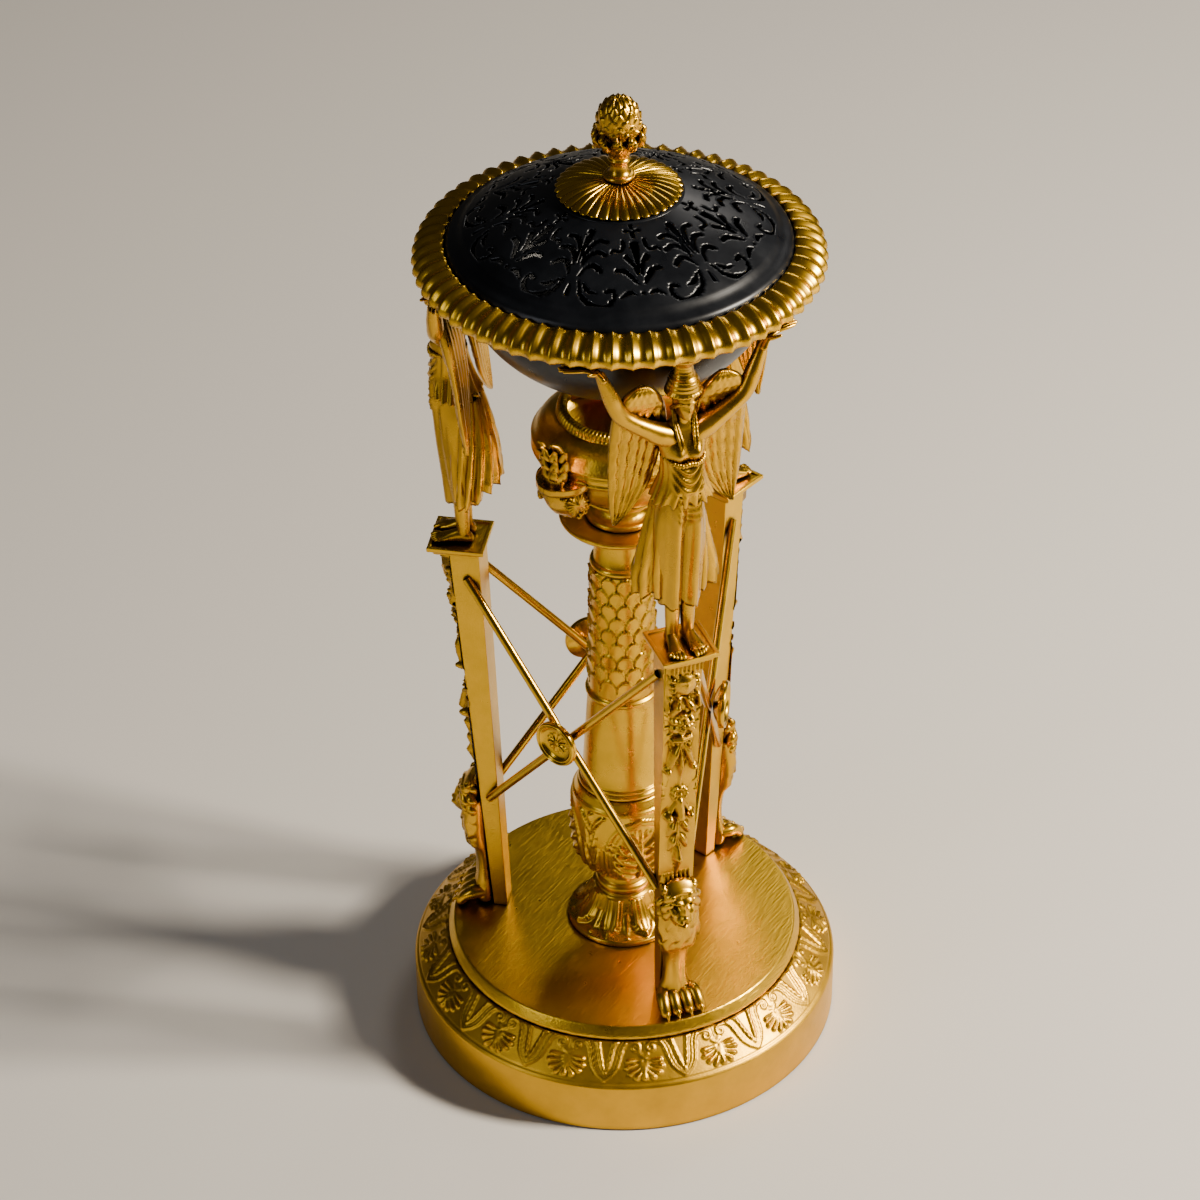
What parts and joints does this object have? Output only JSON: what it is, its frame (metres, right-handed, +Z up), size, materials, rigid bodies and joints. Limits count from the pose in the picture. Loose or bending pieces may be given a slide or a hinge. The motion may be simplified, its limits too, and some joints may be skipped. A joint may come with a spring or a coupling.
{
  "type": "perfume burner",
  "caption": "Tripod perfume burner on a round plinth: winged women on tapered legs hold a lidded bowl over a lamp on a column, with crossed braces between the legs.",
  "frame": {"origin": "middle of the plinth's underside, where it meets the table", "axes": "+Z up; the leg called number one points to -Y, numbers two and three follow at a third of a turn each, anticlockwise seen from above"},
  "size_m": [0.2098, 0.2098, 0.508],
  "materials": {
    "gilt_bronze": "mercury-gilt bronze, burnished",
    "matte_gilt_bronze": "mercury-gilt bronze, matte, on the cast and chased parts",
    "black_bronze": "bronze with a blue-black patina, satin"
  },
  "bodies": {
    "root": {"plinth": "gilt_bronze", "stage_disc": "gilt_bronze", "leg_1": "gilt_bronze", "leg_2": "gilt_bronze", "leg_3": "gilt_bronze", "abacus_1": "gilt_bronze", "abacus_2": "gilt_bronze", "abacus_3": "gilt_bronze", "leg_mount_1": "matte_gilt_bronze", "leg_mount_2": "matte_gilt_bronze", "leg_mount_3": "matte_gilt_bronze", "lion_foot_1": "matte_gilt_bronze", "lion_foot_2": "matte_gilt_bronze", "lion_foot_3": "matte_gilt_bronze", "brace_rod_outer_1": "gilt_bronze", "brace_rod_outer_2": "gilt_bronze", "brace_rod_outer_3": "gilt_bronze", "brace_rod_inner_1": "gilt_bronze", "brace_rod_inner_2": "gilt_bronze", "brace_rod_inner_3": "gilt_bronze", "roundel_1": "gilt_bronze", "roundel_2": "gilt_bronze", "roundel_3": "gilt_bronze", "column_foot": "matte_gilt_bronze", "column_vase": "gilt_bronze", "column_shaft": "gilt_bronze", "drip_dish": "gilt_bronze", "lamp_body": "gilt_bronze", "lamp_spout_1": "matte_gilt_bronze", "lamp_spout_2": "matte_gilt_bronze", "lamp_spout_3": "matte_gilt_bronze", "winged_figure_1": "matte_gilt_bronze", "winged_figure_2": "matte_gilt_bronze", "winged_figure_3": "matte_gilt_bronze", "rim": "gilt_bronze", "bowl": "black_bronze", "lid": "black_bronze", "lid_rosette": "gilt_bronze", "finial": "matte_gilt_bronze"}
  },
  "joints": []
}
